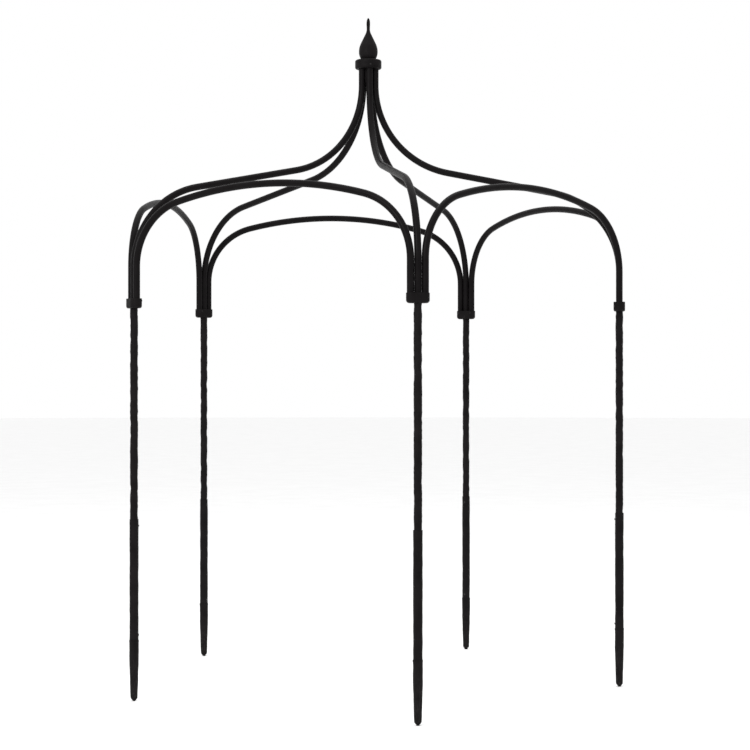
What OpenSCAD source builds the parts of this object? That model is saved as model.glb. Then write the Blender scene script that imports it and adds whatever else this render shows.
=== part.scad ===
// Garden gazebo frame: straight posts on a circle, an arch from each post to the next,
// and an ogee rib from each post to a crown with a flame finial. Millimetres, +Z up.
// The origin is on the frame's centre line, at ground level.

/* [Plan] */
// Number of posts, arches and ribs
post_count = 5; // [4:1:7]
// Diameter of the circle through the post centres
post_circle_d = 2440; // [1800:10:3000]

/* [Heights] */
// Height of the collars' underside above the ground
collar_z = 1555; // [1200:5:2200]
// Depth of the stake points below the ground
stake_depth = 250; // [200:5:350]
// Height of the joint between the lower and the upper post
joint_z = 585; // [400:5:900]
// Straight part of an arch leg or rib leg above its collar
leg_h = 145; // [80:5:400]

/* [Tubes] */
// Outer diameter of the arch and rib tubes
tube_d = 32; // [22:0.2:36]
// Wall of the arch and rib tubes
tube_wall = 1.5; // [1.2:0.1:2.5]
// Gap between two tubes that stand side by side in a collar
tube_gap = 0.4; // [0.2:0.1:1.5]
// Outer diameter of the upper post
post_d = 38; // [28:0.5:45]
// Wall of the upper post
post_wall = 1.5; // [1.2:0.1:2.5]
// Wall of the lower post
lower_wall = 2; // [1.2:0.1:3]
// Length of upper post inside the lower post
post_overlap = 120; // [60:5:200]
// Radial gap where one tube slides in another, or in a socket
slide_gap = 0.2; // [0.1:0.05:0.4]

/* [Arches] */
// Bend radius of an arch's shoulders
arch_shoulder_r = 300; // [220:5:360]
// Rise of an arch's wide crown above its shoulder radius
arch_crown_rise = 52; // [20:2:150]

/* [Ribs] */
// Bend radius of a rib's shoulder
rib_shoulder_r = 390; // [250:5:450]
// Slope of the straight part of a rib, in degrees
rib_slope = 11.5; // [6:0.5:20]
// Bend radius of a rib's neck, where it turns up to the crown
rib_neck_r = 445; // [300:5:500]
// Gap between neighbouring ribs at the crown
neck_gap = 9; // [7:0.5:30]
// Straight part of a rib below the crown hub
neck_h = 78; // [70:1:150]

/* [Collars] */
// Depth of the tube pocket in a collar's top
tube_pocket_h = 22; // [15:1:40]
// Depth of the post socket in a collar's underside
post_socket_h = 20; // [15:1:40]
// Web between the tube pocket and the post socket
collar_web = 3; // [2:0.5:6]
// Wall at a collar's two ends
collar_end_wall = 2.8; // [2.5:0.1:6]
// Wall round the post socket
socket_wall = 8.3; // [4:0.1:10]
// Radius of a collar's lower corners, seen from the front
collar_corner_r = 14; // [6:0.5:16]
// Radius of a collar's lower long edges
collar_edge_r = 7.5; // [2:0.5:9]
// Height of the spigots inside the tubes
tube_spigot_h = 60; // [30:1:100]
// Length of the spigot inside the post
post_spigot_h = 70; // [30:1:120]
// Wall of the spigots
spigot_wall = 3; // [2:0.5:4]

/* [Stakes] */
// Height of the stake's shoulder, where the lower post stands, above the ground
stake_shoulder_z = 30; // [20:1:60]
// How far the stake stands proud of the lower post
stake_proud = 1; // [0.5:0.1:3]
// Height of the stake's spigot inside the lower post
stake_spigot_h = 45; // [30:1:60]
// Wall of the stake's spigot
stake_spigot_wall = 4; // [3:0.5:6]
// Depth of the cup inside the spigot, from the shoulder down
stake_cup_h = 40; // [20:1:60]
// Solid web under that cup
stake_web_h = 22; // [14:1:24]
// Length of the tapered part
stake_taper_h = 187; // [120:1:200]
// Diameter where the taper meets the blunt point
stake_neck_d = 34; // [24:0.5:38]
// Height of the blunt point
stake_point_h = 15; // [10:1:25]
// Diameter of the flat at the very end
stake_tip_d = 12; // [5:0.5:16]
// Height of the lip round the shoulder
stake_lip_h = 9; // [5:1:15]
// Proud width of the lip
stake_lip = 0.8; // [0.5:0.1:2]

/* [Crown] */
// Wall outside the rib sockets in the hub
hub_wall = 13.5; // [8:0.5:16]
// Height of the crown hub
hub_h = 45; // [40:1:60]
// Rounding of the hub's upper and lower edges
hub_edge_r = 9; // [4:0.5:12]
// Depth of the rib sockets in the hub
rib_socket_h = 30; // [20:1:35]
// How far the fluted core's outside lies inside the ring of ribs
core_inset = 8; // [5:0.5:12]
// Height of the fluted core
core_h = 70; // [40:1:75]
// Diameter of the tie rod
rod_d = 12; // [10:1:12]
// Thread length of the tie rod inside the finial
rod_in_finial = 34; // [20:1:45]

/* [Finial] */
// Radius at the finial's foot
finial_foot_r = 33; // [28:0.5:36]
// Largest radius
finial_belly_r = 46; // [42:0.5:52]
// Height of the largest radius above the foot
finial_belly_z = 40; // [34:1:44]
// Radius of the curve above the belly
finial_flank_r = 95; // [85:1:105]
// Steepest lean of the flank, in degrees from upright
finial_lean = 26; // [25:0.5:28]
// Radius of the stem
finial_stem_r = 8; // [6:0.5:9]
// Height at which the stem starts
finial_stem_z = 152; // [148:1:165]
// Radius of the bud on the stem
finial_bud_r = 8.9; // [8:0.1:11]
// Height of the bud's widest place
finial_bud_z = 178; // [172:1:190]
// Full height of the finial
finial_h = 206; // [200:1:230]

/* [Fasteners] */
// Diameter of the set screws
set_screw_d = 8; // [5:1:8]
// Width across flats of a set screw's hexagon socket
set_screw_key = 4; // [2.5:0.5:4]
// Depth of that hexagon socket
set_screw_key_h = 3; // [2:0.5:4]
// Diameter of the splice screws and the stake screws
post_screw_d = 5; // [4:0.5:6]
// Diameter of their heads
post_screw_head_d = 10; // [8:0.5:12]
// Height of their heads
post_screw_head_h = 3; // [2:0.5:4]
// Length of a splice or stake screw under its head
post_screw_h = 12; // [8:1:16]
// Radial gap round a screw in its hole
screw_gap = 0.05; // [0.02:0.01:0.2]

/* [Hidden] */
post_numbers = [1 : post_count];
$fn = 64;

frame_black = [0.13, 0.12, 0.12];
casting_black = [0.16, 0.15, 0.15];
bolt_black = [0.22, 0.21, 0.21];

through = 1; // how far a cut runs past a face
post_step = 360 / post_count;
post_circle_r = post_circle_d / 2;
pipe_fn = 64;
bend_fn = 360;

// Tubes
tube_r = tube_d / 2;
tube_pitch = tube_d + tube_gap;
post_r = post_d / 2;
lower_bore_r = post_r + slide_gap;
lower_r = lower_bore_r + lower_wall;
stake_r = lower_r + stake_proud;
stake_spigot_r = lower_bore_r - slide_gap;
stake_cup_r = stake_spigot_r - stake_spigot_wall;

// Collars
pocket_r = tube_r + slide_gap;
post_socket_r = post_r + slide_gap;
collar_h = post_socket_h + collar_web + tube_pocket_h;
collar_top_z = collar_z + collar_h;
pocket_floor_z = collar_z + post_socket_h + collar_web;
collar_half_depth = post_socket_r + socket_wall;
collar_half_length = tube_pitch + pocket_r + collar_end_wall;
collar_end_y = collar_half_length - collar_half_depth;
socket_rim = 0.8; // flat left round the post socket's mouth
collar_low_edge_r = min(collar_edge_r, socket_wall - socket_rim);
spring_z = collar_top_z + leg_h;
leg_in_collar = collar_top_z - pocket_floor_z;
tube_spigot_r = tube_r - tube_wall - slide_gap;
post_spigot_r = post_r - post_wall - slide_gap;

// Stakes
stake_tip_z = -stake_depth;
taper_top_z = stake_tip_z + stake_taper_h;
stake_web_z = stake_shoulder_z - stake_cup_h - stake_web_h;
stake_hollow_z = stake_tip_z + 1.5 * stake_point_h;

// Seams between the lengths of a bent pipe
seam_gap = 0.02; // left open under each seam's band
seam_band_h = 1;
seam_proud = 0.05;

// Arches: straight legs, two shoulder bends and one wide crown bend, each tangent to the next.
arch_rise = arch_shoulder_r + arch_crown_rise;
arch_half_span = post_circle_r * sin(post_step / 2) - tube_pitch * cos(post_step / 2);
arch_plane_d = post_circle_r * cos(post_step / 2) + tube_pitch * sin(post_step / 2);
shoulder_x = arch_half_span - arch_shoulder_r;
arch_crown_r = (pow(shoulder_x, 2) + pow(arch_rise, 2) - pow(arch_shoulder_r, 2))
    / (2 * arch_crown_rise);
arch_shoulder_turn = atan2(arch_crown_r - arch_rise, shoulder_x);
arch_crown_turn = 2 * (90 - arch_shoulder_turn);
arch_path = [
    ["line", leg_in_collar + leg_h],
    ["bend", arch_shoulder_r, arch_shoulder_turn],
    ["bend", arch_crown_r, arch_crown_turn],
    ["bend", arch_shoulder_r, arch_shoulder_turn],
    ["line", leg_in_collar + leg_h]];

// Ribs: a leg, a shoulder bend, a straight slope, a neck bend the other way, and a straight neck.
neck_ring_r = (tube_d + neck_gap) / (2 * sin(post_step / 2));
rib_turn = 90 - rib_slope;
rib_run = post_circle_r - neck_ring_r
    - (rib_shoulder_r + rib_neck_r) * (1 - sin(rib_slope));
neck_foot_z = spring_z + (rib_shoulder_r + rib_neck_r) * cos(rib_slope)
    + rib_run * tan(rib_slope);
rib_socket_gap = 0.5; // between a rib's end and its socket's floor
rib_path = [
    ["line", leg_in_collar + leg_h],
    ["bend", rib_shoulder_r, rib_turn],
    ["line", rib_run / cos(rib_slope)],
    ["bend", rib_neck_r, -rib_turn],
    ["line", neck_h + rib_socket_h - rib_socket_gap]];

// Crown
hub_z = neck_foot_z + neck_h;
hub_top_z = hub_z + hub_h;
hub_r = neck_ring_r + pocket_r + hub_wall;
core_r = neck_ring_r - core_inset;
core_z = hub_z - core_h;
washer_h = 3;
washer_r = 16;
rod_r = rod_d / 2;
rod_hole_r = rod_r + slide_gap;
rod_end = 3; // rod past the nut's thread, inside its dome
nut_h = 10;
nut_flats = 19;
nut_dome_r = 8.5;
nut_z = core_z - washer_h - nut_h;

// Screws
screw_hole_r = set_screw_d / 2 + screw_gap;
post_screw_hole_r = post_screw_d / 2 + screw_gap;
tube_screw_z = pocket_floor_z + tube_pocket_h / 2;
post_screw_z = collar_z + post_socket_h / 2;
splice_screw_z = joint_z - post_overlap / 4;
stake_screw_z = stake_shoulder_z + stake_spigot_h / 2;
hub_screw_z = hub_z + rib_socket_h / 2 + set_screw_d / 4;

// Puts its children at every post; local +X points away from the centre line.
module at_post(k) {
    rotate([0, 0, (k - 1) * post_step - 90])
        translate([post_circle_r, 0, 0])
            children();
}

module at_every_post() {
    for (k = post_numbers)
        at_post(k)
            children();
}

module pipe_profile(r, wall) {
    difference() {
        circle(r, $fn = pipe_fn);
        circle(r - wall, $fn = pipe_fn);
    }
}

module pipe(r, wall, h) {
    linear_extrude(h)
        pipe_profile(r, wall);
}

// An arc of pipe that starts upwards at the origin and turns towards +X. It ends a hair short.
module pipe_bend(bend_r, turn, r, wall) {
    translate([bend_r, 0, 0])
        mirror([1, 0, 0])
            rotate([90, 0, 0])
                rotate_extrude(angle = turn - seam_gap / bend_r * 180 / PI, $fn = bend_fn)
                    translate([bend_r, 0])
                        pipe_profile(r, wall);
}

// A hair-thin band across a seam, which makes two lengths of one bent pipe a single piece
module seam_band(r, wall) {
    translate([0, 0, -seam_band_h / 2])
        pipe(r + seam_proud, wall + 2 * seam_proud, seam_band_h);
}

// A bent pipe: each length of the path starts where the last one ended.
module bent_pipe(path, r, wall, step = 0) {
    length = path[step];
    if (length[0] == "line") {
        pipe(r, wall, length[1] - seam_gap);
        translate([0, 0, length[1]])
            rest_of_pipe(path, r, wall, step);
    } else {
        bend_r = length[1];
        turn = abs(length[2]);
        side = sign(length[2]);
        mirror([side < 0 ? 1 : 0, 0, 0])
            pipe_bend(bend_r, turn, r, wall);
        translate([side * bend_r * (1 - cos(turn)), 0, bend_r * sin(turn)])
            rotate([0, side * turn, 0])
                rest_of_pipe(path, r, wall, step);
    }
}

module rest_of_pipe(path, r, wall, step) {
    if (step < len(path) - 1) {
        seam_band(r, wall);
        bent_pipe(path, r, wall, step + 1);
    }
}

// Points of a circle's arc, from angle a to angle b.
function arc_points(x, y, r, a, b, n = 12) =
    [for (i = [0 : n]) let (t = a + (b - a) * i / n) [x + r * cos(t), y + r * sin(t)]];

module ground_stake() {
    color(frame_black)
        difference() {
            rotate_extrude()
                polygon([
                    [0, stake_tip_z],
                    [stake_tip_d / 2, stake_tip_z],
                    [stake_neck_d / 2, stake_tip_z + stake_point_h],
                    [stake_r, taper_top_z],
                    [stake_r, stake_shoulder_z - stake_lip_h],
                    [stake_r + stake_lip, stake_shoulder_z - stake_lip_h + stake_lip],
                    [stake_r + stake_lip, stake_shoulder_z - stake_lip],
                    [stake_r, stake_shoulder_z],
                    [stake_spigot_r, stake_shoulder_z],
                    [stake_spigot_r, stake_shoulder_z + stake_spigot_h],
                    [0, stake_shoulder_z + stake_spigot_h]]);
            // The cup in the spigot, and the hollow under its web
            translate([0, 0, stake_web_z + stake_web_h])
                cylinder(h = stake_cup_h + stake_spigot_h + through, r = stake_cup_r);
            translate([0, 0, stake_hollow_z])
                cylinder(
                    h = stake_web_z - stake_hollow_z,
                    r1 = stake_neck_d / 2 - stake_spigot_wall,
                    r2 = stake_cup_r);
            post_screw_hole(stake_screw_z, lower_r);
        }
}

module lower_post() {
    color(frame_black)
        difference() {
            translate([0, 0, stake_shoulder_z])
                pipe(lower_r, lower_wall, joint_z - stake_shoulder_z);
            post_screw_hole(splice_screw_z, lower_r);
            post_screw_hole(stake_screw_z, lower_r);
        }
}

module upper_post() {
    foot_z = joint_z - post_overlap;
    color(frame_black)
        difference() {
            translate([0, 0, foot_z])
                pipe(post_r, post_wall, collar_z + post_socket_h - foot_z);
            post_screw_hole(splice_screw_z, lower_r);
        }
}

// The row of three tube places across a collar
module at_tubes() {
    for (side = [-1 : 1])
        translate([0, side * tube_pitch, 0])
            children();
}

module slot_block(r, half_pitch, h) {
    for (side = [-1, 1])
        translate([0, side * half_pitch, 0])
            cylinder(h = h, r = r);
    translate([-r, -half_pitch, 0])
        cube([2 * r, 2 * half_pitch, h]);
}

// A flat shape as wide as 2 * half_w, with its two lower corners rounded
module lower_rounded(half_w, h, r) {
    for (side = [-1, 1])
        translate([side * (half_w - r), r])
            circle(r);
    translate([-half_w + r, 0])
        square([2 * (half_w - r), h]);
    translate([-half_w, r])
        square([2 * half_w, h - r]);
}

module collar_block() {
    intersection() {
        slot_block(collar_half_depth, collar_end_y, collar_h);
        rotate([90, 0, 90])
            linear_extrude(3 * collar_half_depth, center = true)
                lower_rounded(collar_half_length, collar_h, collar_corner_r);
        rotate([90, 0, 0])
            linear_extrude(3 * collar_half_length, center = true)
                lower_rounded(collar_half_depth, collar_h, collar_low_edge_r);
    }
}

module spigot(r, h) {
    difference() {
        cylinder(h = h, r = r);
        translate([0, 0, -through])
            cylinder(h = h + 2 * through, r = r - spigot_wall);
    }
}

module post_collar() {
    pocket_z = post_socket_h + collar_web;
    color(casting_black)
        translate([0, 0, collar_z]) {
            difference() {
                collar_block();
                translate([0, 0, pocket_z])
                    slot_block(pocket_r, tube_pitch, tube_pocket_h + through);
                translate([0, 0, -through])
                    cylinder(h = post_socket_h + through, r = post_socket_r);
                at_tubes()
                    screw_hole_in(tube_screw_z - collar_z);
                screw_hole_in(post_screw_z - collar_z);
            }
            at_tubes()
                translate([0, 0, pocket_z])
                    spigot(tube_spigot_r, tube_spigot_h);
            translate([0, 0, post_socket_h - post_spigot_h])
                spigot(post_spigot_r, post_spigot_h);
        }
}

module arch() {
    color(frame_black)
        translate([arch_plane_d, -arch_half_span, pocket_floor_z])
            rotate([0, 0, 90])
                bent_pipe(arch_path, tube_r, tube_wall);
}

module rib() {
    color(frame_black)
        translate([post_circle_r, 0, pocket_floor_z])
            rotate([0, 0, 180])
                bent_pipe(rib_path, tube_r, tube_wall);
}

module at_rib_tops() {
    for (k = post_numbers)
        rotate([0, 0, (k - 1) * post_step - 90])
            translate([neck_ring_r, 0, 0])
                children();
}

module crown_hub() {
    color(casting_black)
        difference() {
            translate([0, 0, hub_z])
                rotate_extrude()
                    hub_profile();
            at_rib_tops()
                translate([0, 0, hub_z - through])
                    cylinder(h = rib_socket_h + through, r = pocket_r);
            translate([0, 0, hub_z - through])
                cylinder(h = hub_h + 2 * through, r = rod_hole_r);
            at_rib_tops()
                translate([0, 0, hub_screw_z])
                    rotate([0, 90, 0])
                        cylinder(h = hub_wall + pocket_r + through, r = screw_hole_r);
        }
}

module hub_profile() {
    square([hub_r - hub_edge_r, hub_h]);
    translate([0, hub_edge_r])
        square([hub_r, hub_h - 2 * hub_edge_r]);
    for (z = [hub_edge_r, hub_h - hub_edge_r])
        translate([hub_r - hub_edge_r, z])
            circle(hub_edge_r);
}

module crown_core() {
    color(casting_black)
        translate([0, 0, core_z])
            difference() {
                cylinder(h = core_h, r = core_r);
                translate([0, 0, -through])
                    cylinder(h = core_h + 2 * through, r = rod_hole_r);
                at_rib_tops()
                    translate([0, 0, -through])
                        cylinder(h = core_h + 2 * through, r = pocket_r);
            }
}

module tie_rod() {
    foot_z = core_z - washer_h - nut_h - rod_end;
    color(bolt_black)
        translate([0, 0, foot_z])
            cylinder(h = hub_top_z + rod_in_finial - foot_z, r = rod_r);
}

module crown_washer() {
    color(bolt_black)
        translate([0, 0, core_z - washer_h])
            pipe(washer_r, washer_r - rod_hole_r, washer_h);
}

// A dome nut, its dome downwards
module crown_nut() {
    color(bolt_black)
        difference() {
            union() {
                translate([0, 0, nut_z])
                    cylinder(h = nut_h, r = nut_flats / 2 / cos(30), $fn = 6);
                translate([0, 0, nut_z])
                    sphere(nut_dome_r);
            }
            translate([0, 0, nut_z - rod_end - slide_gap])
                cylinder(h = nut_h + rod_end + slide_gap + through, r = rod_r + screw_gap);
        }
}

function finial_profile() =
    let (
        low_r = (pow(finial_belly_r - finial_foot_r, 2) + pow(finial_belly_z, 2))
            / (2 * (finial_belly_r - finial_foot_r)),
        low_turn = asin(finial_belly_z / low_r),
        flank_z = finial_belly_z + finial_flank_r * sin(finial_lean),
        flank_x = finial_belly_r - finial_flank_r * (1 - cos(finial_lean)),
        slope = tan(finial_lean),
        neck_r = (finial_stem_r - flank_x + slope * (finial_stem_z - flank_z))
            / (slope * sin(finial_lean) - (1 - cos(finial_lean))),
        bud_top = finial_h - finial_bud_z)
    concat(
        [[0, 0]],
        arc_points(finial_belly_r - low_r, finial_belly_z, low_r, -low_turn, 0),
        arc_points(finial_belly_r - finial_flank_r, finial_belly_z, finial_flank_r,
            2, finial_lean),
        arc_points(finial_stem_r + neck_r, finial_stem_z, neck_r,
            180 + finial_lean, 180, 8),
        [for (t = [0.25 : 0.25 : 1])
            [finial_stem_r + (finial_bud_r - finial_stem_r) * (1 - cos(180 * t)) / 2,
             finial_stem_z + (finial_bud_z - finial_stem_z) * t]],
        [for (t = [15 : 15 : 90])
            [finial_bud_r * cos(t), finial_bud_z + bud_top * sin(t)]]);

module finial() {
    color(casting_black)
        translate([0, 0, hub_top_z])
            difference() {
                rotate_extrude()
                    polygon(finial_profile());
                translate([0, 0, -through])
                    cylinder(h = rod_in_finial + 2 * through, r = rod_r + screw_gap);
            }
}

// A post screw's hole, on the side that faces the centre line
module post_screw_hole(z, r) {
    translate([0, 0, z])
        rotate([0, -90, 0])
            cylinder(h = r + through, r = post_screw_hole_r);
}

// A set screw's hole through a collar's inner wall
module screw_hole_in(z) {
    translate([0, 0, z])
        rotate([0, -90, 0])
            cylinder(h = collar_half_depth + through, r = screw_hole_r);
}

// A pan-head screw whose head sits on a tube of radius r, on the side that faces the centre line
module post_screw(z, r) {
    translate([-r, 0, z])
        rotate([0, -90, 0]) {
            translate([0, 0, -post_screw_h])
                cylinder(h = post_screw_h, r = post_screw_d / 2);
            difference() {
                intersection() {
                    cylinder(h = post_screw_head_h, r = post_screw_head_d / 2);
                    translate([0, 0, post_screw_head_h - post_screw_head_d * 0.75])
                        sphere(post_screw_head_d * 0.75);
                }
                translate([0, 0, post_screw_head_h / 2])
                    cylinder(h = post_screw_head_h, r = post_screw_d / 3, $fn = 6);
            }
        }
}

// A set screw that lies along X from its tip to its keyed end
module set_screw(tip_x, end_x) {
    length = end_x - tip_x;
    translate([tip_x, 0, 0])
        rotate([0, 90, 0])
            difference() {
                cylinder(h = length, r = set_screw_d / 2);
                translate([0, 0, length - set_screw_key_h])
                    cylinder(
                        h = set_screw_key_h + through,
                        r = set_screw_key / 2 / cos(30),
                        $fn = 6);
            }
}

module stake_screws() {
    color(bolt_black)
        at_every_post()
            post_screw(stake_screw_z, lower_r);
}

module splice_screws() {
    color(bolt_black)
        at_every_post()
            post_screw(splice_screw_z, lower_r);
}

module post_set_screws() {
    color(bolt_black)
        at_every_post()
            translate([0, 0, post_screw_z])
                rotate([0, 0, 180])
                    set_screw(post_r, collar_half_depth);
}

module tube_set_screws() {
    color(bolt_black)
        at_every_post()
            at_tubes()
                translate([0, 0, tube_screw_z])
                    rotate([0, 0, 180])
                        set_screw(tube_r, collar_half_depth - 1);
}

module hub_set_screws() {
    color(bolt_black)
        at_rib_tops()
            translate([0, 0, hub_screw_z])
                set_screw(tube_r, hub_r - neck_ring_r);
}

for (k = post_numbers) {
    at_post(k) ground_stake();
    at_post(k) lower_post();
    at_post(k) upper_post();
    at_post(k) post_collar();
    rotate([0, 0, (k - 0.5) * post_step - 90]) arch();
    rotate([0, 0, (k - 1) * post_step - 90]) rib();
}
crown_hub();
crown_core();
tie_rod();
crown_washer();
crown_nut();
finial();
stake_screws();
splice_screws();
post_set_screws();
tube_set_screws();
hub_set_screws();
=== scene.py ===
import math

import bmesh
import bpy
from mathutils import Matrix, Vector


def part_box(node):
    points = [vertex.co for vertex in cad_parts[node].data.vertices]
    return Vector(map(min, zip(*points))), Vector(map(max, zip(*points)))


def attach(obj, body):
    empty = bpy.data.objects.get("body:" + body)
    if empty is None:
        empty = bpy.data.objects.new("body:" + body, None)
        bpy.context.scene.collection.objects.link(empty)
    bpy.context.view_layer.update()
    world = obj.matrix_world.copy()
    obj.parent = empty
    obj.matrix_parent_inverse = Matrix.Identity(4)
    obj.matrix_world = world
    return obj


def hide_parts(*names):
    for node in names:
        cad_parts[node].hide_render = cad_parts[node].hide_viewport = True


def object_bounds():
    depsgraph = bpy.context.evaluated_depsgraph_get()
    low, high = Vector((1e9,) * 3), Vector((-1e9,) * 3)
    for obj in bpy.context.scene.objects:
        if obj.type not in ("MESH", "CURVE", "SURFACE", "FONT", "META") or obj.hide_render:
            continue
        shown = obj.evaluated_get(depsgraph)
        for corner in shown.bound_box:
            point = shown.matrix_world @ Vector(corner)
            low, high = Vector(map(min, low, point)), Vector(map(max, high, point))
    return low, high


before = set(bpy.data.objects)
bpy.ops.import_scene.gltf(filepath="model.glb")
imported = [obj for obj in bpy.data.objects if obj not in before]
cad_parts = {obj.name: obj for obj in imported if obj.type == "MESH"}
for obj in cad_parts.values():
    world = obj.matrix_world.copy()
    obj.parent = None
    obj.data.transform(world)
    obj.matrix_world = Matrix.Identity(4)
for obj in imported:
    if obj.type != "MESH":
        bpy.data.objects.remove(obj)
cadLow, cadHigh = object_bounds()
print("frame loaded:", len(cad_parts), "nodes")

# Places that every piece shares, read from the frame; every length is in metres
postCount = sum(name.startswith("upper_post_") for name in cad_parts)
upperLow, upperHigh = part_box("upper_post_1")
lowerLow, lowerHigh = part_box("lower_post_1")
stakeLow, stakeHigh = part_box("ground_stake_1")
archLow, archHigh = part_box("arch_3")  # the arch that runs along X
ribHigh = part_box("rib_1")[1]  # the rib that runs along Y
finialLow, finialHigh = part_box("finial")
postCircle = -(upperLow.y + upperHigh.y) / 2  # the first post stands on -Y
postRadius = (upperHigh.x - upperLow.x) / 2
sleeveRadius = (lowerHigh.x - lowerLow.x) / 2


def postTurn(number):
    return (number - 1) * math.tau / postCount - math.pi / 2


def atPost(number):  # local +X points away from the centre line
    return Matrix.Rotation(postTurn(number), 4, "Z") @ Matrix.Translation((postCircle, 0, 0))


# Camera

cameraSizes = {
    "azimuth": -10.0,  # degrees round the frame, 0 looks along +Y
    "distance": 9.398,  # from the centre line
    "height": 1.243,
    "heading": -10.2,  # where the lens points, in the same degrees
    "tilt": 0.035,
    "lens": 92.08,
}


def makeCamera(sizes):
    turn = math.radians(sizes["azimuth"])
    data = bpy.data.cameras.new("camera")
    data.lens = sizes["lens"]
    data.clip_end = 200
    camera = bpy.data.objects.new("camera", data)
    camera.location = (
        math.sin(turn) * sizes["distance"],
        -math.cos(turn) * sizes["distance"],
        sizes["height"])
    camera.rotation_euler = (
        math.radians(90 + sizes["tilt"]), 0, math.radians(sizes["heading"]))
    bpy.context.scene.collection.objects.link(camera)
    bpy.context.scene.camera = camera


makeCamera(cameraSizes)
print("camera placed")


# Building blocks for materials and node trees

def addNode(tree, kind, **settings):
    node = tree.nodes.new(kind)
    for name, value in settings.items():
        if name == "inputs":
            for socket, wanted in value.items():
                node.inputs[socket].default_value = wanted
        else:
            setattr(node, name, value)
    return node


def addMath(tree, operation, first, second=None):
    node = addNode(tree, "ShaderNodeMath", operation=operation)
    for index, value in enumerate((first, second)):
        if isinstance(value, bpy.types.NodeSocket):
            tree.links.new(value, node.inputs[index])
        elif value is not None:
            node.inputs[index].default_value = value
    return node.outputs[0]


def addRamp(tree, source, stops):
    ramp = addNode(tree, "ShaderNodeValToRGB")
    elements = ramp.color_ramp.elements
    while len(elements) < len(stops):
        elements.new(0.5)
    for element, (position, color) in zip(elements, stops):
        element.position = position
        element.color = (*color, 1)
    tree.links.new(source, ramp.inputs["Fac"])
    return ramp.outputs["Color"]


def addRange(tree, source, low, high, fromLow=0.0, fromHigh=1.0):
    node = addNode(tree, "ShaderNodeMapRange", inputs={
        "From Min": fromLow, "From Max": fromHigh, "To Min": low, "To Max": high})
    tree.links.new(source, node.inputs["Value"])
    return node.outputs["Result"]


def addNoise(tree, place, scale, detail=3.0, roughness=0.55):
    node = addNode(tree, "ShaderNodeTexNoise", inputs={
        "Scale": scale, "Detail": detail, "Roughness": roughness})
    tree.links.new(place, node.inputs["Vector"])
    return node.outputs["Fac"]


def addBump(tree, height, distance, under=None):
    node = addNode(tree, "ShaderNodeBump", inputs={"Distance": distance, "Strength": 1.0})
    tree.links.new(height, node.inputs["Height"])
    if under is not None:
        tree.links.new(under, node.inputs["Normal"])
    return node.outputs["Normal"]


def startMaterial(name, metallic, specular):
    material = bpy.data.materials.new(name)
    material.use_nodes = True
    tree = material.node_tree
    shader = tree.nodes["Principled BSDF"]
    shader.inputs["Metallic"].default_value = metallic
    shader.inputs["Specular IOR Level"].default_value = specular
    place = addNode(tree, "ShaderNodeTexCoord").outputs["Object"]
    return material, tree, shader, place


# Black coating on steel: hammered posts, smooth tubes and grainy castings (scales are per metre)

coatLooks = {
    "hammeredCoat": {
        "deep": (0.0040, 0.0034, 0.0036), "high": (0.0082, 0.0070, 0.0074),
        "rub": (0.024, 0.021, 0.022), "rubAmount": 0.5,  # on the ridges between hammer marks
        "roughness": (0.36, 0.58), "peelScale": 420, "peelHeight": 0.00025,
        "grainScale": 1500, "grainHeight": 0.00005, "specular": 0.05},
    "smoothCoat": {
        "deep": (0.0046, 0.0038, 0.0041), "high": (0.0070, 0.0060, 0.0063),
        "roughness": (0.30, 0.42), "peelScale": 520, "peelHeight": 0.00012,
        "grainScale": 2200, "grainHeight": 0.00003, "specular": 0.05},
    "castCoat": {
        "deep": (0.0042, 0.0036, 0.0038), "high": (0.0088, 0.0076, 0.0079),
        "roughness": (0.40, 0.60), "peelScale": 260, "peelHeight": 0.00030,
        "grainScale": 900, "grainHeight": 0.00014, "specular": 0.05},
}


def makeCoat(name, look):
    material, tree, shader, place = startMaterial(name, 0.0, look["specular"])
    broad = addNoise(tree, place, 14, 4)
    peel = addNoise(tree, place, look["peelScale"], 2)
    grain = addNoise(tree, place, look["grainScale"], 3, 0.65)
    color = addRamp(tree, broad, [(0.30, look["deep"]), (0.72, look["high"])])
    if "rub" in look:
        mark = addNode(tree, "ShaderNodeAttribute", attribute_name="ridge").outputs["Fac"]
        rubbed = addMath(tree, "MULTIPLY", mark, addRange(tree, peel, 0.0, 1.0, 0.45, 0.75))
        mix = addNode(tree, "ShaderNodeMix", data_type="RGBA")
        tree.links.new(addMath(tree, "MULTIPLY", rubbed, look["rubAmount"]), mix.inputs["Factor"])
        tree.links.new(color, mix.inputs["A"])
        mix.inputs["B"].default_value = (*look["rub"], 1)
        color = mix.outputs["Result"]
    tree.links.new(color, shader.inputs["Base Color"])
    rough = addRange(tree, addNoise(tree, place, 60, 3), *look["roughness"], 0.3, 0.7)
    tree.links.new(rough, shader.inputs["Roughness"])
    normal = addBump(tree, peel, look["peelHeight"])
    normal = addBump(tree, grain, look["grainHeight"], normal)
    tree.links.new(normal, shader.inputs["Normal"])
    return material


def makeBoltSteel():  # chemically blackened steel, a little brighter than the coating
    material, tree, shader, place = startMaterial("blackenedSteel", 0.85, 0.4)
    broad = addNoise(tree, place, 90, 3)
    fine = addNoise(tree, place, 2600, 2)
    tree.links.new(
        addRamp(tree, broad, [(0.3, (0.020, 0.019, 0.020)), (0.7, (0.045, 0.042, 0.042))]),
        shader.inputs["Base Color"])
    tree.links.new(addRange(tree, fine, 0.32, 0.48, 0.3, 0.7), shader.inputs["Roughness"])
    tree.links.new(addBump(tree, fine, 0.00003), shader.inputs["Normal"])
    return material


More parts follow.
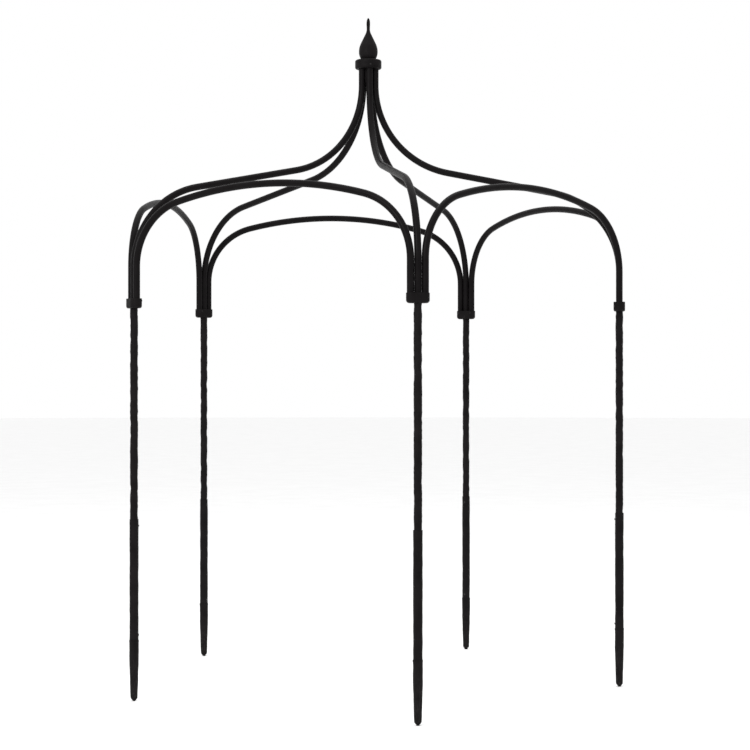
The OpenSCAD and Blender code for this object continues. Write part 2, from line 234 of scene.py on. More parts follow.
def makeStakeCoat(look, groundHeight):  # the hammered coating, dulled and scratched by soil lower down
    material = makeCoat("stakeCoat", look)
    tree = material.node_tree
    shader = tree.nodes["Principled BSDF"]
    place = tree.nodes["Texture Coordinate"].outputs["Object"]
    height = addNode(tree, "ShaderNodeSeparateXYZ")
    tree.links.new(place, height.inputs[0])
    depth = addRange(tree, height.outputs["Z"], 1.0, 0.0, groundHeight - 0.22, groundHeight + 0.02)
    stretched = addNode(tree, "ShaderNodeMapping", inputs={"Scale": (1, 1, 0.08)})
    tree.links.new(place, stretched.inputs["Vector"])
    scratches = addNoise(tree, stretched.outputs["Vector"], 620, 2, 0.7)
    scuffed = addMath(tree, "MULTIPLY", depth, addRange(tree, scratches, 0.0, 0.75, 0.56, 0.74))
    mix = addNode(tree, "ShaderNodeMix", data_type="RGBA")
    tree.links.new(scuffed, mix.inputs["Factor"])
    tree.links.new(shader.inputs["Base Color"].links[0].from_socket, mix.inputs["A"])
    mix.inputs["B"].default_value = (0.085, 0.080, 0.077, 1)
    tree.links.new(mix.outputs["Result"], shader.inputs["Base Color"])
    tree.links.new(addMath(tree, "MULTIPLY", scuffed, 0.8), shader.inputs["Metallic"])
    return material


hammeredCoat = makeCoat("hammeredCoat", coatLooks["hammeredCoat"])
smoothCoat = makeCoat("smoothCoat", coatLooks["smoothCoat"])
castCoat = makeCoat("castCoat", coatLooks["castCoat"])
stakeCoat = makeStakeCoat(coatLooks["hammeredCoat"], 0.0)
boltSteel = makeBoltSteel()
print("materials made")


# Mesh helpers: stacked loops of points, which also make every turned piece

def circleLoop(radius, height, count, shift=0.0):
    return [(
        radius * math.cos(math.tau * (i + shift) / count),
        radius * math.sin(math.tau * (i + shift) / count),
        height) for i in range(count)]


def hexLoop(apothem, height, count):
    loop = []
    for i in range(count):
        turn = math.tau * i / count
        reach = apothem / math.cos((turn + math.pi / 6) % (math.pi / 3) - math.pi / 6)
        loop.append((reach * math.cos(turn), reach * math.sin(turn), height))
    return loop


def stackedMesh(name, loops, capStart=True, ring=False):
    shell = bmesh.new()
    rows = [[shell.verts.new(point) for point in loop] for loop in loops]
    pairs = list(zip(rows, rows[1:]))
    if ring:
        pairs.append((rows[-1], rows[0]))
    for low, high in pairs:
        for i in range(len(low)):
            j = (i + 1) % len(low)
            shell.faces.new((low[i], low[j], high[j], high[i]))
    for row, wanted in ((rows[0], capStart and not ring), (rows[-1], not ring)):
        if wanted:
            middle = shell.verts.new(sum((v.co for v in row), Vector()) / len(row))
            for i in range(len(row)):
                shell.faces.new((row[i], row[(i + 1) % len(row)], middle))
    bmesh.ops.recalc_face_normals(shell, faces=shell.faces)
    for face in shell.faces:
        face.smooth = True
    mesh = bpy.data.meshes.new(name)
    shell.to_mesh(mesh)
    shell.free()
    return mesh


def turnedMesh(name, outline, count, **ends):  # outline: (radius, height) from one end to the other
    return stackedMesh(name, [circleLoop(r, z, count) for r, z in outline], **ends)


def arcOutline(x, z, radius, start, end, count):  # angles in degrees
    points = []
    for i in range(count + 1):
        turn = math.radians(start + (end - start) * i / count)
        points.append((x + radius * math.cos(turn), z + radius * math.sin(turn)))
    return points


def evenOutline(start, end, step):  # both ends are kept
    length = math.dist(start, end)
    count = max(1, round(length / step))
    return [(
        start[0] + (end[0] - start[0]) * i / count,
        start[1] + (end[1] - start[1]) * i / count) for i in range(count + 1)]


def newObject(name, mesh):
    obj = bpy.data.objects.new(name, mesh)
    bpy.context.scene.collection.objects.link(obj)
    return obj


def socketId(tree, name):
    return next(item.identifier for item in tree.interface.items_tree
        if item.item_type == "SOCKET" and item.in_out == "INPUT" and item.name == name)


def grown(obj, tree, values):  # runs a node tree on obj and keeps the result as a plain mesh
    modifier = obj.modifiers.new(tree.name, "NODES")
    modifier.node_group = tree
    for name, value in values.items():
        modifier[socketId(tree, name)] = value
    depsgraph = bpy.context.evaluated_depsgraph_get()
    result = bpy.data.meshes.new_from_object(
        obj.evaluated_get(depsgraph), preserve_all_data_layers=True, depsgraph=depsgraph)
    result.name = obj.name
    obj.modifiers.clear()
    obj.data = result
    return obj


def settle(obj, matrix):  # the place goes into the mesh, and the object stays at the origin
    obj.data.transform(matrix)
    obj.data.update()


def handOver(obj, slotName, *cadNodes):
    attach(obj, "root")
    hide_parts(*cadNodes)


def startTree(name, sockets):
    tree = bpy.data.node_groups.new(name, "GeometryNodeTree")
    tree.interface.new_socket("Geometry", in_out="INPUT", socket_type="NodeSocketGeometry")
    for label, kind, value in sockets:
        socket = tree.interface.new_socket(label, in_out="INPUT", socket_type="NodeSocket" + kind)
        if value is not None:
            socket.default_value = value
    tree.interface.new_socket("Geometry", in_out="OUTPUT", socket_type="NodeSocketGeometry")
    entry = addNode(tree, "NodeGroupInput").outputs
    return tree, entry


def endTree(tree, geometry, material):
    realize = addNode(tree, "GeometryNodeRealizeInstances")
    paint = addNode(tree, "GeometryNodeSetMaterial")
    leave = addNode(tree, "NodeGroupOutput")
    tree.links.new(geometry, realize.inputs["Geometry"])
    tree.links.new(realize.outputs["Geometry"], paint.inputs["Geometry"])
    tree.links.new(material, paint.inputs["Material"])
    tree.links.new(paint.outputs["Geometry"], leave.inputs["Geometry"])


# Hammer marks: overlapping shallow dishes beaten into a turned bar or tube

def makeHammerTree():
    tree, entry = startTree("hammerMarks", [
        ("Depth", "Float", 0.001),
        ("Mark Width", "Float", 0.03),
        ("Mark Length", "Float", 0.06),
        ("Ripple", "Float", 0.0003),
        ("Inside", "Float", 0.0),
        ("Seed", "Float", 0.0),
        ("Material", "Material", None)])
    link = tree.links.new
    place = addNode(tree, "GeometryNodeInputPosition").outputs[0]
    normal = addNode(tree, "GeometryNodeInputNormal").outputs[0]
    parts = addNode(tree, "ShaderNodeSeparateXYZ")
    link(place, parts.inputs[0])
    x, y, z = parts.outputs

    # Straight out from the bar's own axis
    flat = addNode(tree, "ShaderNodeCombineXYZ")
    link(x, flat.inputs[0])
    link(y, flat.inputs[1])
    outward = addNode(tree, "ShaderNodeVectorMath", operation="NORMALIZE")
    link(flat.outputs[0], outward.inputs[0])
    facing = addNode(tree, "ShaderNodeVectorMath", operation="DOT_PRODUCT")
    link(outward.outputs[0], facing.inputs[0])
    link(normal, facing.inputs[1])
    sideways, square = 0.2, 0.7  # a rim gets no marks, a wall gets them in full
    outside = addRange(tree, facing.outputs["Value"], 0.0, 1.0, sideways, square)
    bore = addRange(tree, facing.outputs["Value"], 1.0, 0.0, -square, -sideways)
    skin = addMath(tree, "ADD", outside, addMath(tree, "MULTIPLY", bore, entry["Inside"]))

    # Marks are longer than wide; the seed slides the pattern along the bar
    cell = addNode(tree, "ShaderNodeCombineXYZ")
    link(addMath(tree, "DIVIDE", x, entry["Mark Width"]), cell.inputs[0])
    link(addMath(tree, "DIVIDE", y, entry["Mark Width"]), cell.inputs[1])
    along = addMath(tree, "ADD", addMath(tree, "DIVIDE", z, entry["Mark Length"]), entry["Seed"])
    link(along, cell.inputs[2])
    dishes = addNode(tree, "ShaderNodeTexVoronoi", feature="SMOOTH_F1", inputs={
        "Scale": 1.0, "Smoothness": 0.12, "Randomness": 1.0})
    link(cell.outputs[0], dishes.inputs["Vector"])
    ripple = addRange(tree, addNoise(tree, cell.outputs[0], 2.6, 3, 0.65), 0.0, 1.0, 0.35, 0.65)
    ridge = addRange(tree, dishes.outputs["Distance"], 0.0, 1.0, 0.10, 0.62)

    sunk = addMath(tree, "MULTIPLY", addMath(tree, "SUBTRACT", 1.0, ridge), entry["Depth"])
    rough = addMath(tree, "MULTIPLY", ripple, entry["Ripple"])
    inward = addMath(tree, "MULTIPLY", addMath(tree, "MULTIPLY", addMath(
        tree, "ADD", sunk, rough), skin), -1.0)
    push = addNode(tree, "ShaderNodeVectorMath", operation="SCALE")
    link(outward.outputs[0], push.inputs[0])
    link(inward, push.inputs["Scale"])
    store = addNode(tree, "GeometryNodeStoreNamedAttribute", data_type="FLOAT", domain="POINT")
    store.inputs["Name"].default_value = "ridge"
    link(entry["Geometry"], store.inputs["Geometry"])
    link(addMath(tree, "MULTIPLY", ridge, skin), store.inputs["Value"])
    move = addNode(tree, "GeometryNodeSetPosition")
    link(store.outputs["Geometry"], move.inputs["Geometry"])
    link(push.outputs[0], move.inputs["Offset"])
    endTree(tree, move.outputs["Geometry"], entry["Material"])
    return tree


hammerTree = makeHammerTree()


# Posts: two lengths of hammered tube, the upper one slid into the lower one

postSizes = {
    "upperWall": 0.0015,
    "lowerWall": 0.0019,
    "mouthRound": 0.0008,  # rounding of a tube's cut end
    "sides": 40,
    "step": 0.0045,  # length of one mesh row
    "upperMarks": {  # the dents are deeper than the wall, so the bore follows them
        "Depth": 0.0026, "Mark Width": 0.044, "Mark Length": 0.050, "Ripple": 0.0015, "Inside": 1.0},
    "lowerMarks": {  # shallower than the wall, so that the bore stays round for the upper post
        "Depth": 0.0014, "Mark Width": 0.048, "Mark Length": 0.080, "Ripple": 0.0007, "Inside": 0.0},
    "seedStep": 7.31,
}


def tubeOutline(radius, wall, low, high, sizes):
    soft = sizes["mouthRound"]
    return (
        evenOutline((radius, low + soft), (radius, high - soft), sizes["step"])
        + arcOutline(radius - soft, high - soft, soft, 25, 90, 3)
        + evenOutline((radius - wall, high), (radius - wall, low), sizes["step"])
        + arcOutline(radius - soft, low + soft, soft, 270, 335, 3))


def makePosts(sizes):
    for number in range(1, postCount + 1):
        for part, radius, wall, low, high in (
                ("upper", postRadius, sizes["upperWall"], upperLow.z, upperHigh.z),
                ("lower", sleeveRadius, sizes["lowerWall"], lowerLow.z, lowerHigh.z)):
            outline = tubeOutline(radius, wall, low, high, sizes)
            mesh = turnedMesh("tube", outline, sizes["sides"], ring=True)
            post = newObject(part + "Post" + str(number), mesh)
            marks = dict(sizes[part + "Marks"], Material=hammeredCoat)
            grown(post, hammerTree, dict(marks, Seed=number * sizes["seedStep"]))
            settle(post, atPost(number))
            handOver(post, "frame_paint", part + "_post_" + str(number))


makePosts(postSizes)
print("posts made")


# Ground stakes: a cast point with a lipped shoulder and a hollow spigot for the lower post

stakeSizes = {
    "radius": 0.0222,
    "spigotRadius": 0.0190,
    "spigotHeight": 0.045,
    "cupRadius": 0.0150,
    "cupFloor": -0.010,
    "lipHeight": 0.009,
    "taperHeight": 0.187,
    "neckRadius": 0.0170,
    "pointHeight": 0.015,
    "tipRadius": 0.0060,
    "lipRound": 0.0007,
    "pointFlare": 0.94,  # the point's widest radius, as a share of the neck's
    "pointStep": 0.003,
    "neckSoft": (0.0020, 0.0015),  # below and above the corner between point and taper
    "sides": 48,
    "step": 0.0045,
    "marks": {"Depth": 0.0011, "Mark Width": 0.040, "Mark Length": 0.055, "Ripple": 0.0005},
    "seedStep": 3.7,
}


def stakeOutline(sizes):
    tip, top = stakeLow.z, stakeHigh.z
    mouth = top - sizes["spigotHeight"]
    lipRadius = (stakeHigh.x - stakeLow.x) / 2
    neck = tip + sizes["pointHeight"]
    shoulder = tip + sizes["taperHeight"]
    lipFoot = mouth - sizes["lipHeight"]
    soft = sizes["lipRound"]
    below, above = sizes["neckSoft"]
    radius, neckRadius, step = sizes["radius"], sizes["neckRadius"], sizes["step"]
    point = evenOutline(
        (sizes["tipRadius"], tip), (neckRadius * sizes["pointFlare"], neck - below), sizes["pointStep"])
    taper = evenOutline((neckRadius, neck + above), (radius, shoulder), step)
    barrel = evenOutline((radius, shoulder), (radius, lipFoot), step)
    lip = (
        arcOutline(lipRadius - soft, lipFoot + 2 * soft, soft, -70, 0, 3)
        + arcOutline(lipRadius - soft, mouth - soft, soft, 0, 90, 4))
    spigot, cup = sizes["spigotRadius"], sizes["cupRadius"]
    return point + taper + barrel[1:] + lip + [
        (spigot, mouth), (spigot, top - soft), (spigot - soft, top), (cup + soft, top),
        (cup, top - soft), (cup, sizes["cupFloor"])]


def makeStakes(sizes):
    for number in range(1, postCount + 1):
        mesh = turnedMesh("stake", stakeOutline(sizes), sizes["sides"])
        stake = newObject("groundStake" + str(number), mesh)
        marks = dict(sizes["marks"], Seed=number * sizes["seedStep"], Material=stakeCoat)
        grown(stake, hammerTree, marks)
        settle(stake, atPost(number))
        handOver(stake, "frame_paint", "ground_stake_" + str(number))


makeStakes(stakeSizes)
print("stakes made")


# Collars: oblong castings, round-bottomed, with a pocket for three tubes and a post socket below

collarSizes = {
    "postSocketDepth": 0.020,
    "web": 0.003,
    "pocketDepth": 0.022,
    "halfLength": 0.0514,
    "halfDepth": 0.0275,
    "cornerRound": 0.014,  # lower corners, seen from the front
    "edgeRound": 0.0075,  # lower long edges
    "rimRound": 0.0015,
    "mouthBreak": 0.0006,  # the broken edge of the post socket
    "pocketBreak": 0.0008,  # the broken edge of the tube pocket
    "tubePitch": 0.0324,
    "pocketRadius": 0.0162,
    "socketRadius": 0.0192,
    "arcSteps": 24,
    "straightSteps": 10,
    "undersideSteps": 12,
    "rimSteps": 4,
}
collarFoot = upperHigh.z - collarSizes["postSocketDepth"]
collarHeight = collarSizes["postSocketDepth"] + collarSizes["web"] + collarSizes["pocketDepth"]
pocketFloor = collarFoot + collarSizes["postSocketDepth"] + collarSizes["web"]


def oblongLoop(halfDepth, halfLength, height, sizes):  # a slot shape, long way along Y
    endRound = min(halfDepth, halfLength)
    straight = halfLength - endRound
    steps, arcs = sizes["straightSteps"], sizes["arcSteps"]
    loop = []
    for side in (1, -1):
        loop += [(side * halfDepth, side * straight * (2 * i / steps - 1), height) for i in range(steps)]
        for i in range(arcs):
            turn = math.pi * i / arcs
            loop.append((
                side * halfDepth * math.cos(turn),
                side * (straight + endRound * math.sin(turn)),
                height))
    return loop


def roundInset(radius, lift):  # how far a rounded lower edge lies inside the full width
    below = max(0.0, radius - lift)
    return radius - math.sqrt(radius ** 2 - below ** 2)


def collarLoops(sizes):
    count = 2 * (sizes["arcSteps"] + sizes["straightSteps"])
    bore, soft, mouth = sizes["socketRadius"], sizes["rimRound"], sizes["mouthBreak"]
    steps, rimSteps = sizes["undersideSteps"], sizes["rimSteps"]
    turn = -sizes["straightSteps"] / 2  # the first point of a round loop sits where an oblong's does
    loops = [
        circleLoop(bore * 0.5, sizes["postSocketDepth"], count, turn),
        circleLoop(bore, sizes["postSocketDepth"], count, turn),
        circleLoop(bore, mouth, count, turn),
        circleLoop(bore + mouth, 0.0, count, turn)]
    for i in range(steps + 1):  # up the rounded underside
        lift = sizes["cornerRound"] * (1 - math.cos(math.pi / 2 * i / steps))
        depth = sizes["halfDepth"] - roundInset(sizes["edgeRound"], lift)
        length = sizes["halfLength"] - roundInset(sizes["cornerRound"], lift)
        loops.append(oblongLoop(depth, length, lift, sizes))
    top, floor = collarHeight, collarHeight - sizes["pocketDepth"]
    loops.append(oblongLoop(sizes["halfDepth"], sizes["halfLength"], top - 2 * soft, sizes))
    for i in range(rimSteps + 1):
        turned = math.pi / 2 * i / rimSteps
        shrink = soft * (1 - math.cos(turned))
        loops.append(oblongLoop(
            sizes["halfDepth"] - shrink, sizes["halfLength"] - shrink,
            top - soft + soft * math.sin(turned), sizes))
    pocketRadius, edge = sizes["pocketRadius"], sizes["pocketBreak"]
    pocketLength = sizes["tubePitch"] + pocketRadius
    for grow, height in (
            (edge, top), (edge / 4, top - edge * 3 / 8), (0.0, top - edge * 9 / 8), (0.0, floor)):
        loops.append(oblongLoop(pocketRadius + grow, pocketLength + grow, height, sizes))
    loops.append(oblongLoop(pocketRadius * 0.4, pocketLength * 0.75, floor, sizes))
    return loops


def makeCollars(sizes):
    for number in range(1, postCount + 1):
        collar = newObject("postCollar" + str(number), stackedMesh("collar", collarLoops(sizes)))
        collar.data.materials.append(castCoat)
        settle(collar, atPost(number) @ Matrix.Translation((0, 0, collarFoot)))
        handOver(collar, "casting_paint", "post_collar_" + str(number))


makeCollars(collarSizes)
print("collars made")


# Bent tubes: a node tree sweeps a round tube along the path of an arch or a rib

def makeBentTubeTree():
    tree, entry = startTree("bentTube", [
        ("Radius", "Float", 0.016),
        ("Sides", "Int", 40),
        ("Row Length", "Float", 0.008),
        ("Waver", "Float", 0.0001),
        ("Seed", "Float", 0.0),
        ("Material", "Material", None)])
    link = tree.links.new
    path = addNode(tree, "GeometryNodeMeshToCurve")
    link(entry["Geometry"], path.inputs["Mesh"])
    rows = addNode(tree, "GeometryNodeResampleCurve", mode="LENGTH")
    link(path.outputs["Curve"], rows.inputs["Curve"])
    link(entry["Row Length"], rows.inputs["Length"])
    section = addNode(tree, "GeometryNodeCurvePrimitiveCircle")
    link(entry["Sides"], section.inputs["Resolution"])
    link(entry["Radius"], section.inputs["Radius"])
    sweep = addNode(tree, "GeometryNodeCurveToMesh")
    sweep.inputs["Fill Caps"].default_value = True
    link(rows.outputs["Curve"], sweep.inputs["Curve"])
    link(section.outputs["Curve"], sweep.inputs["Profile Curve"])
    smooth = addNode(tree, "GeometryNodeSetShadeSmooth")
    link(sweep.outputs["Mesh"], smooth.inputs["Geometry"])

    # The coated skin wavers by a hair, always inwards
    spot = addNode(tree, "ShaderNodeVectorMath", operation="ADD")
    link(addNode(tree, "GeometryNodeInputPosition").outputs[0], spot.inputs[0])
    link(entry["Seed"], spot.inputs[1])
    depth = addMath(tree, "MULTIPLY", addNoise(tree, spot.outputs[0], 22, 2), entry["Waver"])
    push = addNode(tree, "ShaderNodeVectorMath", operation="SCALE")
    link(addNode(tree, "GeometryNodeInputNormal").outputs[0], push.inputs[0])
    link(addMath(tree, "MULTIPLY", depth, -1.0), push.inputs["Scale"])
    move = addNode(tree, "GeometryNodeSetPosition")
    link(smooth.outputs["Geometry"], move.inputs["Geometry"])
    link(push.outputs[0], move.inputs["Offset"])
    endTree(tree, move.outputs["Geometry"], entry["Material"])
    return tree


bentTubeTree = makeBentTubeTree()
tubeSizes = {"Radius": 0.016, "Sides": 40, "Row Length": 0.007, "Waver": 0.0003}
pathStep = 0.02  # along the straight parts of a path


def pathObject(name, points):
    mesh = bpy.data.meshes.new(name)
    mesh.from_pydata(points, [(i, i + 1) for i in range(len(points) - 1)], [])
    return newObject(name, mesh)


# Arches: straight legs, two tight shoulder bends and one wide crown bend

archSizes = {
    "legHeight": 0.145,
    "shoulderRadius": 0.300,
    "shoulderSteps": 40,
    "crownSteps": 30,
    "seedStep": 2.3,
}


def archPath(sizes):  # in the XZ plane, from one foot to the other
    halfSpan = archHigh.x - tubeSizes["Radius"]
    spring = collarFoot + collarHeight + sizes["legHeight"]
    rise = archHigh.z - tubeSizes["Radius"] - spring
    shoulder = sizes["shoulderRadius"]
    reach = halfSpan - shoulder
    crown = (reach ** 2 + rise ** 2 - shoulder ** 2) / (2 * (rise - shoulder))
    turn = math.degrees(math.atan2(crown - rise, reach))
    side = (
        evenOutline((halfSpan, pocketFloor), (halfSpan, spring), pathStep)
        + arcOutline(reach, spring, shoulder, 0, turn, sizes["shoulderSteps"])[1:]
        + arcOutline(0, spring + rise - crown, crown, turn, 90, sizes["crownSteps"])[1:])
    return side + [(-x, z) for x, z in side[-2::-1]]


def makeArches(sizes):
    planeDistance = (archLow.y + archHigh.y) / 2
    for number in range(1, postCount + 1):
        points = [(x, planeDistance, z) for x, z in archPath(sizes)]
        arch = pathObject("arch" + str(number), points)
        seed = number * sizes["seedStep"]
        grown(arch, bentTubeTree, dict(tubeSizes, Seed=seed, Material=smoothCoat))
        turn = postTurn(number + 0.5) - math.pi / 2
        settle(arch, Matrix.Rotation(turn, 4, "Z"))
        handOver(arch, "frame_paint", "arch_" + str(number))


makeArches(archSizes)
print("arches made")


# Ribs: a leg, a shoulder bend, a straight slope and a long neck that turns up to the crown

ribSizes = {
    "legHeight": 0.145,
    "shoulderRadius": 0.390,
    "slope": 11.5,  # degrees
    "neckRadius": 0.445,
    "shoulderSteps": 44,
    "neckSteps": 48,
    "seedStep": 5.1,
}


def ribPath(sizes):  # (distance from the centre line, height)
    neckRing = tubeSizes["Radius"] - ribHigh.y
    spring = collarFoot + collarHeight + sizes["legHeight"]
    slope = math.radians(sizes["slope"])
    shoulder = arcOutline(
        postCircle - sizes["shoulderRadius"], spring, sizes["shoulderRadius"],
        0, 90 - sizes["slope"], sizes["shoulderSteps"])
    neckMiddle = neckRing + sizes["neckRadius"]
    neckStart = neckMiddle - sizes["neckRadius"] * math.sin(slope)
    startHeight = shoulder[-1][1] + (shoulder[-1][0] - neckStart) * math.tan(slope)
    neck = arcOutline(
        neckMiddle, startHeight + sizes["neckRadius"] * math.cos(slope), sizes["neckRadius"],
        270 - sizes["slope"], 180, sizes["neckSteps"])
    return (
        evenOutline((postCircle, pocketFloor), (postCircle, spring), pathStep)
        + shoulder[1:]
        + evenOutline(shoulder[-1], neck[0], pathStep)[1:]
        + neck[1:]
        + evenOutline(neck[-1], (neckRing, ribHigh.z), pathStep)[1:])


def makeRibs(sizes):
    for number in range(1, postCount + 1):
        rib = pathObject("rib" + str(number), [(x, 0, z) for x, z in ribPath(sizes)])
        seed = number * sizes["seedStep"]
        grown(rib, bentTubeTree, dict(tubeSizes, Seed=seed, Material=smoothCoat))
        settle(rib, Matrix.Rotation(postTurn(number), 4, "Z"))
        handOver(rib, "frame_paint", "rib_" + str(number))


makeRibs(ribSizes)
print("ribs made")


# Finial: a turned flame on the hub

finialSizes = {
    "footRadius": 0.033,
    "bellyRadius": 0.046,
    "bellyHeight": 0.040,
    "flankRadius": 0.095,
    "lean": 26.0,  # degrees, where belly and neck meet
    "stemRadius": 0.008,
    "stemHeight": 0.152,
    "budRadius": 0.0089,
    "budHeight": 0.178,
    "bellySteps": 24,
    "neckSteps": 28,
    "swellSteps": 12,
    "sides": 96,
}


def finialOutline(sizes):
    belly, foot = sizes["bellyRadius"], sizes["footRadius"]
    lift = sizes["bellyHeight"]
    lean = math.radians(sizes["lean"])
    lowRadius = ((belly - foot) ** 2 + lift ** 2) / (2 * (belly - foot))
    lowTurn = math.degrees(math.asin(lift / lowRadius))
    flankX = belly - sizes["flankRadius"] * (1 - math.cos(lean))
    flankZ = lift + sizes["flankRadius"] * math.sin(lean)
    drop = math.tan(lean)
    neck = (sizes["stemRadius"] - flankX + drop * (sizes["stemHeight"] - flankZ)) / (
        drop * math.sin(lean) - (1 - math.cos(lean)))
    stem, bud = sizes["stemRadius"], sizes["budRadius"]
    steps = sizes["swellSteps"]
    swell = [(
        stem + (bud - stem) * (1 - math.cos(math.pi * i / steps)) / 2,
        sizes["stemHeight"] + (sizes["budHeight"] - sizes["stemHeight"]) * i / steps)
        for i in range(1, steps + 1)]
    budTop = finialHigh.z - finialLow.z - sizes["budHeight"]
    cap = [(
        bud * math.cos(math.radians(t)), sizes["budHeight"] + budTop * math.sin(math.radians(t)))
        for t in (12, 24, 36, 48, 60, 70, 78, 84)]
    return (
        arcOutline(belly - lowRadius, lift, lowRadius, -lowTurn, 0, sizes["bellySteps"])
        + arcOutline(
            belly - sizes["flankRadius"], lift, sizes["flankRadius"], 1, sizes["lean"], sizes["bellySteps"])
        + arcOutline(
            stem + neck, sizes["stemHeight"], neck, 180 + sizes["lean"], 180, sizes["neckSteps"])[1:]
        + swell
        + cap)


def makeFinial(sizes):
    finial = newObject("finial_flame", turnedMesh("finial", finialOutline(sizes), sizes["sides"]))
    finial.data.materials.append(castCoat)
    settle(finial, Matrix.Translation((0, 0, finialLow.z)))
    handOver(finial, "casting_paint", "finial")


makeFinial(finialSizes)
print("finial made")


# Screws: a node tree sets one screw on every point, turned to face along the point's own direction

def makeScrewTree():
    tree, entry = startTree("screwRow", [
        ("Screw", "Object", None),
        ("Spin", "Float", 0.0),
        ("Seed", "Int", 3),
        ("Material", "Material", None)])
    link = tree.links.new
    way = addNode(tree, "GeometryNodeInputNamedAttribute", data_type="FLOAT_VECTOR")
    way.inputs["Name"].default_value = "way"
    aim = addNode(tree, "FunctionNodeAlignRotationToVector", axis="Z")
    link(way.outputs["Attribute"], aim.inputs["Vector"])
    spin = addNode(tree, "FunctionNodeRandomValue", data_type="FLOAT")
    link(entry["Spin"], spin.inputs[3])
    link(entry["Seed"], spin.inputs["Seed"])
    local = addNode(tree, "FunctionNodeAxisAngleToRotation")
    local.inputs["Axis"].default_value = (0, 0, 1)
    link(spin.outputs[1], local.inputs["Angle"])
    turned = addNode(tree, "FunctionNodeRotateRotation", rotation_space="LOCAL")
    link(aim.outputs[0], turned.inputs[0])
    link(local.outputs[0], turned.inputs[1])
    screw = addNode(tree, "GeometryNodeObjectInfo")
    link(entry["Screw"], screw.inputs["Object"])
    points = addNode(tree, "GeometryNodeMeshToPoints")
    link(entry["Geometry"], points.inputs["Mesh"])
    copies = addNode(tree, "GeometryNodeInstanceOnPoints")
    link(points.outputs["Points"], copies.inputs["Points"])
    link(screw.outputs["Geometry"], copies.inputs["Instance"])
    link(turned.outputs[0], copies.inputs["Rotation"])
    endTree(tree, copies.outputs["Instances"], entry["Material"])
    return tree


screwTree = makeScrewTree()
screwSizes = {
    "sides": 36,
    "setRadius": 0.004, "setKey": 0.0020, "setKeyDepth": 0.003,
    "panRadius": 0.005, "panHeight": 0.003, "panShank": 0.012, "panKey": 0.0015,
    "panThread": 0.0025,
    "tubeScrewSink": 0.001,  # how far a tube's screw ends inside the collar's face
}


def setScrewMesh(radius, length, key, keyDepth, sides):  # its tip at the origin, its key end up +Z
    soft = radius * 0.12
    return stackedMesh("setScrew", [
        circleLoop(radius * 0.72, 0, sides), circleLoop(radius, radius * 0.28, sides),
        circleLoop(radius, length - soft, sides), circleLoop(radius - soft, length, sides),
        hexLoop(key * 1.06, length, sides), hexLoop(key, length - soft * 0.5, sides),
        hexLoop(key, length - keyDepth, sides), circleLoop(key * 0.4, length - keyDepth * 1.12, sides)])


def panScrewMesh(sizes):  # the underside of its head at the origin, its head up +Z
    radius, height, sides = sizes["panRadius"], sizes["panHeight"], sizes["sides"]
    crown = [(radius * math.cos(t) ** 0.55, 0.0004 + (height - 0.0004) * math.sin(t))
        for t in [math.pi / 2 * i / 8 for i in range(7)]]
    loops = [
        circleLoop(sizes["panThread"] * 0.7, -sizes["panShank"], sides),
        circleLoop(sizes["panThread"], -sizes["panShank"] + 0.0008, sides),
        circleLoop(sizes["panThread"], 0, sides),
        circleLoop(radius * 0.97, 0, sides)]
    loops += [circleLoop(r, z, sides) for r, z in crown]
    loops += [
        hexLoop(sizes["panKey"] * 1.08, crown[-1][1], sides),
        hexLoop(sizes["panKey"], crown[-1][1] - 0.0003, sides),
        hexLoop(sizes["panKey"], height / 2, sides)]
    return stackedMesh("panScrew", loops)


def screwRow(name, mesh, places, cadNode):
    pattern = newObject(name + "Pattern", mesh)
    points = bpy.data.meshes.new(name)
    points.from_pydata([spot for spot, way in places], [], [])
    ways = points.attributes.new("way", "FLOAT_VECTOR", "POINT")
    for item, (spot, way) in zip(ways.data, places):
        item.vector = way
    row = newObject(name, points)
    grown(row, screwTree, {"Screw": pattern, "Spin": math.tau, "Material": boltSteel})
    bpy.data.objects.remove(pattern)
    for polygon in row.data.polygons:
        polygon.use_smooth = True
    handOver(row, "dark_fasteners", cadNode)


def inwardPlaces(reach, height, offsets=(0.0,)):  # on the side of each post that faces the centre line
    places = []
    for number in range(1, postCount + 1):
        turned = atPost(number)
        way = turned.to_3x3() @ Vector((-1, 0, 0))
        places += [(turned @ Vector((-reach, offset, height)), way) for offset in offsets]
    return places


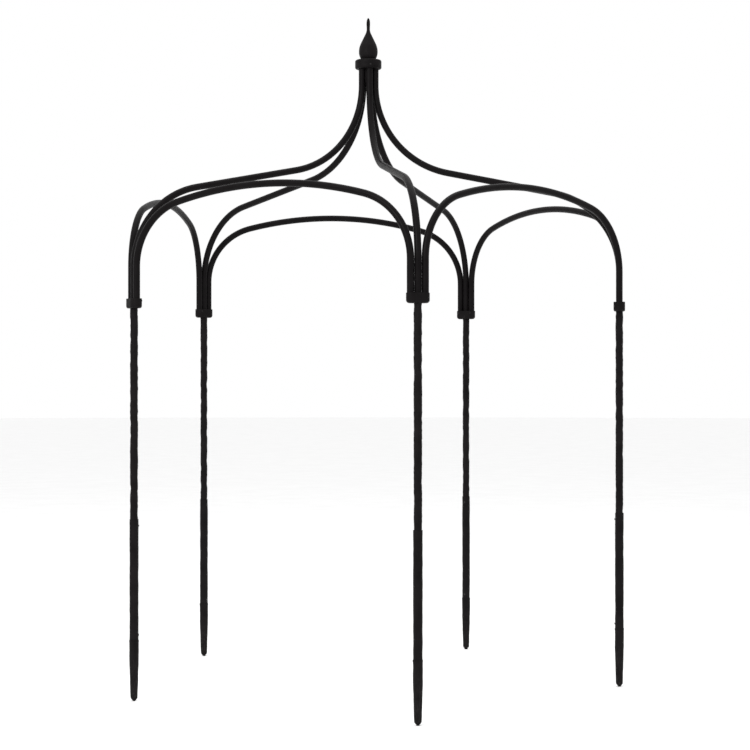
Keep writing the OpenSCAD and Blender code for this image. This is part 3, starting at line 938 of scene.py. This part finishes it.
def makeScrews(sizes):
    for name, cadNode in (("stakeScrews", "stake_screws"), ("spliceScrews", "splice_screws")):
        low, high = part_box(cadNode)
        places = inwardPlaces(sleeveRadius, (low.z + high.z) / 2)
        screwRow(name, panScrewMesh(sizes), places, cadNode)

    postLow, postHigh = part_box("post_set_screws")
    face = collarSizes["halfDepth"]
    long = setScrewMesh(
        sizes["setRadius"], face - postRadius, sizes["setKey"], sizes["setKeyDepth"], sizes["sides"])
    screwRow("postSetScrews", long, inwardPlaces(
        postRadius, (postLow.z + postHigh.z) / 2), "post_set_screws")

    tubeLow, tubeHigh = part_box("tube_set_screws")
    tube, pitch = tubeSizes["Radius"], collarSizes["tubePitch"]
    middle = setScrewMesh(
        sizes["setRadius"], face - sizes["tubeScrewSink"] - tube,
        sizes["setKey"], sizes["setKeyDepth"], sizes["sides"])
    screwRow("tubeSetScrews", middle, inwardPlaces(
        tube, (tubeLow.z + tubeHigh.z) / 2, (-pitch, 0.0, pitch)), "tube_set_screws")

    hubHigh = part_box("crown_hub")[1]
    screwLow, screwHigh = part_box("hub_set_screws")
    ring, rim = tube - ribHigh.y, hubHigh.x
    places = []
    for number in range(1, postCount + 1):
        way = Matrix.Rotation(postTurn(number), 3, "Z") @ Vector((1, 0, 0))
        height = Vector((0, 0, (screwLow.z + screwHigh.z) / 2))
        places.append((way * (ring + tube) + height, way))
    hubScrew = setScrewMesh(
        sizes["setRadius"], rim - ring - tube, sizes["setKey"], sizes["setKeyDepth"], sizes["sides"])
    screwRow("hubSetScrews", hubScrew, places, "hub_set_screws")


makeScrews(screwSizes)
print("screws made")


# The crown's hub, core, rod, washer and nut keep their own shapes and get their finish

for node, material in (
        ("crown_hub", castCoat), ("crown_core", castCoat), ("tie_rod", boltSteel),
        ("crown_washer", boltSteel), ("crown_nut", boltSteel)):
    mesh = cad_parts[node].data
    mesh.materials.clear()
    mesh.materials.append(material)


# Studio: a pale floor at the stakes' points, a white room and two soft lamps

studioSizes = {
    "floorRadius": 60.0,
    "floorRings": (1.0, 0.25, 0.05),  # shares of the floor's radius
    "floorSides": 96,
    "floorTones": (0.93, 0.96),
    "aimHeight": 1.4,  # where the lamps point, on the centre line
    "roomLight": 1.0,
    "lamps": [
        {"name": "topLamp", "at": (0.0, 0.0, 9.0), "size": 9.0, "power": 300},
        {"name": "keyLamp", "at": (-5.0, -6.0, 5.0), "size": 3.0, "power": 220},
    ],
}


def makeFloor(sizes):
    outline = [(sizes["floorRadius"] * share, cadLow.z) for share in sizes["floorRings"]]
    floor = newObject("floor", turnedMesh("floor", outline, sizes["floorSides"], capStart=False))
    if floor.data.polygons[0].normal.z < 0:
        floor.data.flip_normals()
    material, tree, shader, spot = startMaterial("paleFloor", 0.0, 0.2)
    darker, lighter = sizes["floorTones"]
    tone = addRamp(tree, addNoise(tree, spot, 3, 2), [(0.3, (darker,) * 3), (0.7, (lighter,) * 3)])
    tree.links.new(tone, shader.inputs["Base Color"])
    shader.inputs["Roughness"].default_value = 0.9
    floor.data.materials.append(material)


def makeLights(sizes):
    world = bpy.data.worlds.new("room")
    world.use_nodes = True
    background = world.node_tree.nodes["Background"]
    background.inputs["Color"].default_value = (1, 1, 1, 1)
    background.inputs["Strength"].default_value = sizes["roomLight"]
    bpy.context.scene.world = world
    for lamp in sizes["lamps"]:
        data = bpy.data.lights.new(lamp["name"], "AREA")
        data.size = lamp["size"]
        data.energy = lamp["power"]
        light = bpy.data.objects.new(lamp["name"], data)
        light.location = lamp["at"]
        aim = Vector((0, 0, sizes["aimHeight"])) - Vector(lamp["at"])
        light.rotation_euler = aim.to_track_quat("-Z", "Y").to_euler()
        bpy.context.scene.collection.objects.link(light)


makeFloor(studioSizes)
makeLights(studioSizes)
bpy.context.scene.view_settings.view_transform = "Standard"
print("studio made")
